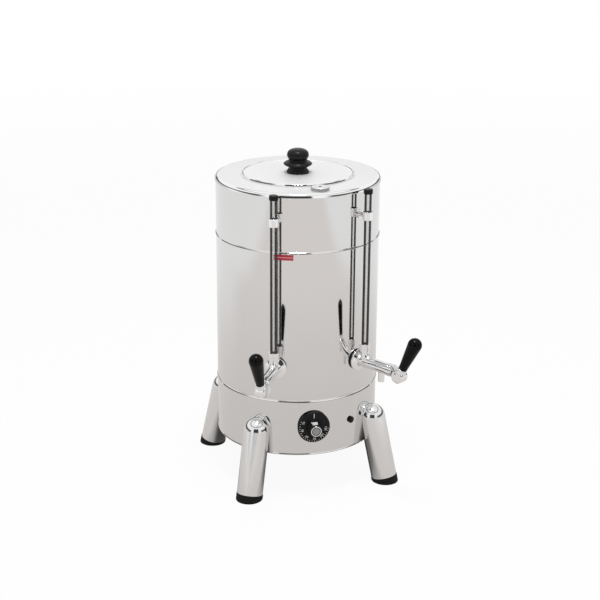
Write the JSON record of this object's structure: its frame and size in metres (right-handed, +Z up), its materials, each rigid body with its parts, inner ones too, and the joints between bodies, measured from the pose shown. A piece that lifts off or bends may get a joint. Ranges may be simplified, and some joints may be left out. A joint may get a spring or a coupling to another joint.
{
  "type": "coffee urn",
  "caption": "Free-standing polished steel coffee urn with a water bath, lever taps, glass sight tubes, a thermostat dial, a lift-off lid and splayed legs on rubber feet.",
  "frame": {"origin": "on the urn's axis, in the plane of the four soles", "axes": "+Z up along the urn's axis, the front with the taps and the dial faces -Y, +X to the right seen from the front"},
  "size_m": [0.2586, 0.3346, 0.4956],
  "materials": {
    "polished_steel": "mirror-polished stainless sheet",
    "satin_steel": "satin stainless sheet",
    "plain_steel": "plain steel",
    "chrome": "bright chrome plate",
    "cast_aluminium": "polished casting",
    "black_plastic": "glossy black moulding",
    "rubber": "black rubber",
    "glass": "clear glass",
    "brass": "plain brass and copper",
    "red_mark": "red printed film",
    "white_plastic": "heat-proof moulding",
    "wire": "insulated wire",
    "lens": "dark red lens"
  },
  "bodies": {
    "urn": {"outer_shell": "polished_steel", "base_skirt": "polished_steel", "top_cover": "satin_steel", "coffee_pot": "satin_steel", "tank_floor": "plain_steel", "base_cover": "plain_steel", "base_screws": "plain_steel", "heater": "plain_steel", "leg_bolts": "plain_steel", "coffee_tap_spring": "plain_steel", "water_tap_spring": "plain_steel", "coffee_tap_body": "chrome", "water_tap_body": "chrome", "coffee_tap_bonnet": "chrome", "water_tap_bonnet": "chrome", "tube_packing_nuts": "chrome", "coffee_tube_clip": "chrome", "water_tube_clip": "chrome", "leg_front_right": "cast_aluminium", "leg_rear_right": "cast_aluminium", "leg_rear_left": "cast_aluminium", "leg_front_left": "cast_aluminium", "lamp_bezel": "black_plastic", "coffee_tube_cap": "black_plastic", "water_tube_cap": "black_plastic", "foot_front_right": "rubber", "foot_rear_right": "rubber", "foot_rear_left": "rubber", "foot_front_left": "rubber", "tap_gaskets": "rubber", "stem_orings": "rubber", "tube_packing_rings": "rubber", "cord_gland": "rubber", "coffee_sight_tube": "glass", "water_sight_tube": "glass", "heater_nuts": "brass", "tap_locknuts": "brass", "thermostat_bulb": "brass", "level_mark": "red_mark", "thermostat": "white_plastic", "terminal_block": "white_plastic", "wiring": "wire", "lamp_lens": "lens"},
    "lid": {"lid": "satin_steel", "lid_knob": "black_plastic", "lid_knob_screw": "plain_steel"},
    "fill_cap": {"fill_cap": "satin_steel"},
    "dial": {"dial": "black_plastic", "dial_cap": "plain_steel", "thermostat_shaft": "plain_steel"},
    "coffee_stem": {"coffee_tap_stem": "plain_steel", "coffee_tap_seal": "rubber"},
    "coffee_lever": {"coffee_lever": "chrome", "coffee_lever_handle": "black_plastic", "coffee_lever_pin": "plain_steel"},
    "water_stem": {"water_tap_stem": "plain_steel", "water_tap_seal": "rubber"},
    "water_lever": {"water_lever": "chrome", "water_lever_handle": "black_plastic", "water_lever_pin": "plain_steel"}
  },
  "joints": [
    {"name": "lid_lift", "type": "slide", "parent": "urn", "child": "lid", "axis": [0, 0, 1], "range_m": [0, 0.12]},
    {"name": "fill_cap_lift", "type": "slide", "parent": "urn", "child": "fill_cap", "axis": [0, 0, 1], "range_m": [0, 0.03]},
    {"name": "dial_turn", "type": "hinge", "parent": "urn", "child": "dial", "pos_m": [-0.00981, -0.12462, 0.1092], "axis": [0.0785, 0.9969, 0], "range_deg": [0, 262]},
    {"name": "coffee_stem_slide", "type": "slide", "parent": "urn", "child": "coffee_stem", "axis": [0.5075, -0.8616, 0], "range_m": [0, 0.0045], "deforming": ["coffee_tap_spring"]},
    {"name": "coffee_lever_pull", "type": "hinge", "parent": "coffee_stem", "child": "coffee_lever", "pos_m": [0.10049, -0.1706, 0.201], "axis": [0.8616, 0.5075, 0], "range_deg": [0, 50], "stiffness_Nm_per_rad": 0.12, "springref_deg": -28.65},
    {"name": "water_stem_slide", "type": "slide", "parent": "urn", "child": "water_stem", "axis": [-0.5075, -0.8616, 0], "range_m": [0, 0.0045], "deforming": ["water_tap_spring"]},
    {"name": "water_lever_pull", "type": "hinge", "parent": "water_stem", "child": "water_lever", "pos_m": [-0.10049, -0.1706, 0.201], "axis": [0.8616, -0.5075, 0], "range_deg": [0, 50], "stiffness_Nm_per_rad": 0.12, "springref_deg": -28.65}
  ],
  "couplings": [
    {"joint": "coffee_stem_slide", "follows": "coffee_lever_pull", "m_per_rad": 0.005},
    {"joint": "water_stem_slide", "follows": "water_lever_pull", "m_per_rad": 0.005}
  ]
}
